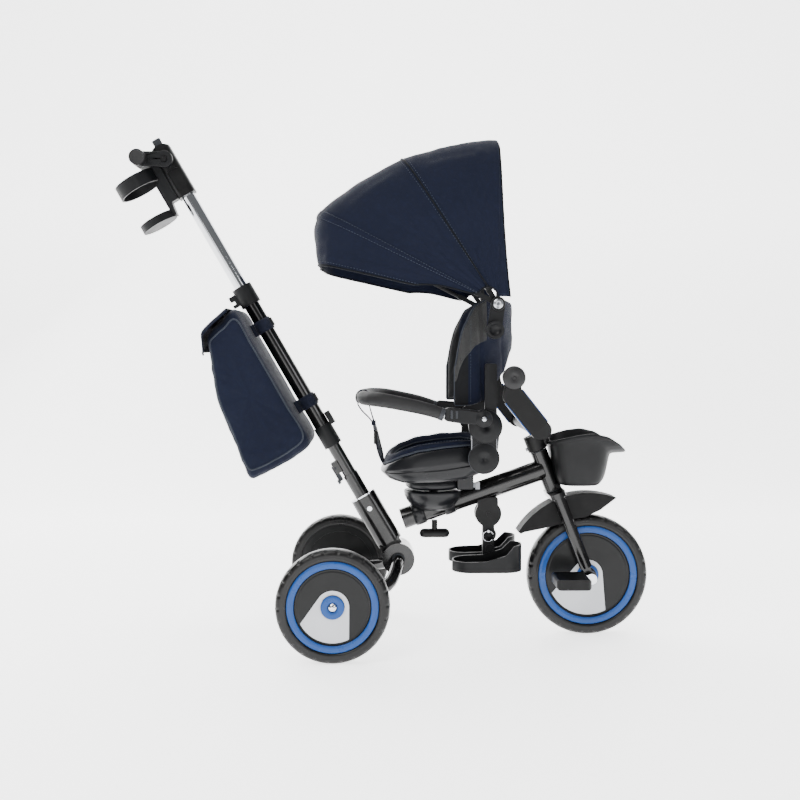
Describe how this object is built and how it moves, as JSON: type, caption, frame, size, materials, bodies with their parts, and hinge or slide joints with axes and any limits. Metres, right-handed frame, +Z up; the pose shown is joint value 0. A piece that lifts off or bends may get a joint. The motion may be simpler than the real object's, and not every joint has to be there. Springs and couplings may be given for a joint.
{
  "type": "child tricycle",
  "caption": "Folding push-along child's tricycle with a swivelling seat, guard rail, folding hood, storage bag, basket and telescopic push bar.",
  "frame": {"origin": "middle of the footprint's bounding box, on the floor", "axes": "+X towards the front wheel, +Y to the tricycle's left, +Z up"},
  "size_m": [1.0962, 0.488, 1.0249],
  "materials": {
    "black_paint": "gloss",
    "dark_plastic": "matte",
    "black_plastic": "satin",
    "grey_plastic": "satin",
    "blue_plastic": "gloss",
    "navy_cloth": "woven",
    "chrome": "polished",
    "tyre": "satin",
    "foam": "matte"
  },
  "bodies": {
    "frame": {"main_frame": "black_paint", "head_bushes": "grey_plastic", "fold_pin": "chrome", "socket_liner": "chrome", "turntable_base": "dark_plastic", "footrest_bracket": "dark_plastic"},
    "clamp": {"clamp_knob": "black_plastic"},
    "rear_frame": {"rear_arms": "black_paint", "rear_axles": "chrome"},
    "fold_release": {"fold_button": "grey_plastic"},
    "rear_wheel_left": {"rear_tyre_left": "tyre", "rear_rim_left": "dark_plastic", "rear_trim_left": "blue_plastic"},
    "rear_wheel_right": {"rear_tyre_right": "tyre", "rear_rim_right": "dark_plastic", "rear_trim_right": "blue_plastic"},
    "steering": {"fork": "black_paint", "mudguard": "black_plastic", "handlebar": "black_plastic", "handlebar_trim": "blue_plastic", "grips": "grey_plastic", "basket": "dark_plastic"},
    "bar_button": {"handlebar_button": "grey_plastic"},
    "front_wheel": {"front_tyre": "tyre", "front_rim": "dark_plastic", "front_trim": "blue_plastic", "crank_axle": "chrome"},
    "left_pedal": {"pedal_left": "black_plastic"},
    "right_pedal": {"pedal_right": "black_plastic"},
    "foot_trays": {"footrest": "dark_plastic"},
    "seat": {"seat_shell": "dark_plastic", "seat_cushion": "navy_cloth"},
    "swivel_latch": {"seat_latch": "grey_plastic"},
    "backrest": {"recline_arms": "dark_plastic", "backrest_shell": "black_plastic", "backrest_pad": "navy_cloth", "hood_brackets": "dark_plastic", "hood_rear_panel": "navy_cloth"},
    "rail": {"rail_joints": "grey_plastic", "rail_foam": "foam", "crotch_strap": "navy_cloth"},
    "hood_middle": {"hood_mid_bow": "dark_plastic", "hood_mid_panel": "navy_cloth"},
    "hood_front": {"hood_front_bow": "dark_plastic", "hood_front_panel": "navy_cloth", "hood_visor": "navy_cloth"},
    "knob_left": {"hood_knob_left": "grey_plastic"},
    "knob_right": {"hood_knob_right": "grey_plastic"},
    "push_bar": {"lower_tube": "black_paint", "outer_tube": "black_paint", "bar_clamps": "dark_plastic", "bag": "navy_cloth"},
    "flap": {"bag_flap": "navy_cloth"},
    "bar_catch": {"bar_latch": "grey_plastic"},
    "bar_top": {"inner_tube": "chrome", "handle_housing": "black_plastic", "cup_holder": "dark_plastic"},
    "handle": {"handle_arms": "black_plastic", "handle_grip": "foam"},
    "handle_release": {"handle_button": "grey_plastic"}
  },
  "joints": [
    {"name": "rear_fold", "type": "hinge", "parent": "frame", "child": "rear_frame", "pos_m": [0.03, 0, 0.163], "axis": [0, 1, 0], "range_deg": [-110, 0]},
    {"name": "fold_button_press", "type": "slide", "parent": "rear_frame", "child": "fold_release", "axis": [0, 1, 0], "range_m": [0, 0.003], "stiffness_N_per_m": 800},
    {"name": "rear_wheel_left_spin", "type": "hinge", "parent": "rear_frame", "child": "rear_wheel_left", "pos_m": [-0.098, 0.22, 0.109], "axis": [0, 1, 0], "continuous": true},
    {"name": "rear_wheel_right_spin", "type": "hinge", "parent": "rear_frame", "child": "rear_wheel_right", "pos_m": [-0.098, -0.22, 0.109], "axis": [0, 1, 0], "continuous": true},
    {"name": "steer", "type": "hinge", "parent": "frame", "child": "steering", "pos_m": [0.424, 0, 0.125], "axis": [-0.3665, 0, 0.9304], "range_deg": [-6, 6]},
    {"name": "handlebar_button_press", "type": "slide", "parent": "steering", "child": "bar_button", "axis": [0.9304, 0, 0.3665], "range_m": [0, 0.003], "stiffness_N_per_m": 500},
    {"name": "front_wheel_spin", "type": "hinge", "parent": "steering", "child": "front_wheel", "pos_m": [0.424, 0, 0.125], "axis": [0, 1, 0], "continuous": true},
    {"name": "left_pedal_spin", "type": "hinge", "parent": "front_wheel", "child": "left_pedal", "pos_m": [0.47363, 0.11, 0.11891], "axis": [0, 1, 0], "continuous": true},
    {"name": "right_pedal_spin", "type": "hinge", "parent": "front_wheel", "child": "right_pedal", "pos_m": [0.37437, -0.11, 0.13109], "axis": [0, 1, 0], "continuous": true},
    {"name": "footrest_fold", "type": "hinge", "parent": "frame", "child": "foot_trays", "pos_m": [0.217, 0, 0.253], "axis": [0, 1, 0], "range_deg": [0, 18]},
    {"name": "clamp_turn", "type": "hinge", "parent": "frame", "child": "clamp", "pos_m": [0.106, 0, 0.211], "axis": [0, 0, 1], "continuous": true},
    {"name": "seat_swivel", "type": "hinge", "parent": "frame", "child": "seat", "pos_m": [0.103, 0, 0.304], "axis": [0, 0, 1], "range_deg": [-35, 0]},
    {"name": "seat_latch_pull", "type": "slide", "parent": "seat", "child": "swivel_latch", "axis": [1, 0, 0], "range_m": [0, 0.005], "stiffness_N_per_m": 300},
    {"name": "backrest_recline", "type": "hinge", "parent": "seat", "child": "backrest", "pos_m": [0.196, 0, 0.38], "axis": [0, 1, 0], "range_deg": [0, 8]},
    {"name": "rail_swing", "type": "hinge", "parent": "backrest", "child": "rail", "pos_m": [0.194, 0, 0.459], "axis": [0, 1, 0], "range_deg": [0, 45]},
    {"name": "hood_fold", "type": "hinge", "parent": "backrest", "child": "hood_middle", "pos_m": [0.22, 0, 0.682], "axis": [0, 1, 0], "range_deg": [0, 15], "deforming": ["hood_mid_panel"]},
    {"name": "hood_front_fold", "type": "hinge", "parent": "hood_middle", "child": "hood_front", "pos_m": [0.22, 0, 0.682], "axis": [0, 1, 0], "range_deg": [0, 10], "deforming": ["hood_front_panel"]},
    {"name": "knob_left_turn", "type": "hinge", "parent": "backrest", "child": "knob_left", "pos_m": [0.213, 0.174, 0.631], "axis": [0, 1, 0], "continuous": true},
    {"name": "knob_right_turn", "type": "hinge", "parent": "backrest", "child": "knob_right", "pos_m": [0.213, -0.174, 0.631], "axis": [0, 1, 0], "continuous": true},
    {"name": "bar_release", "type": "slide", "parent": "frame", "child": "push_bar", "axis": [-0.5, 0, 0.866], "range_m": [0, 0.06]},
    {"name": "bar_latch_pull", "type": "hinge", "parent": "push_bar", "child": "bar_catch", "pos_m": [-0.09982, 0, 0.34786], "axis": [0, 1, 0], "range_deg": [0, 20], "stiffness_Nm_per_rad": 0.5},
    {"name": "bar_telescope", "type": "slide", "parent": "push_bar", "child": "bar_top", "axis": [-0.5, 0, 0.866], "range_m": [-0.12, 0]},
    {"name": "handle_tilt", "type": "hinge", "parent": "bar_top", "child": "handle", "pos_m": [-0.44223, 0, 0.97693], "axis": [0, 1, 0], "range_deg": [0, 18]},
    {"name": "handle_button_press", "type": "slide", "parent": "bar_top", "child": "handle_release", "axis": [-0.5, 0, 0.866], "range_m": [-0.004, 0], "stiffness_N_per_m": 500},
    {"name": "flap_open", "type": "hinge", "parent": "push_bar", "child": "flap", "pos_m": [-0.30891, 0, 0.67401], "axis": [0, 1, 0], "range_deg": [0, 60]}
  ],
  "couplings": [
    {"joint": "hood_front_fold", "follows": "hood_fold", "ratio": 0.66}
  ]
}
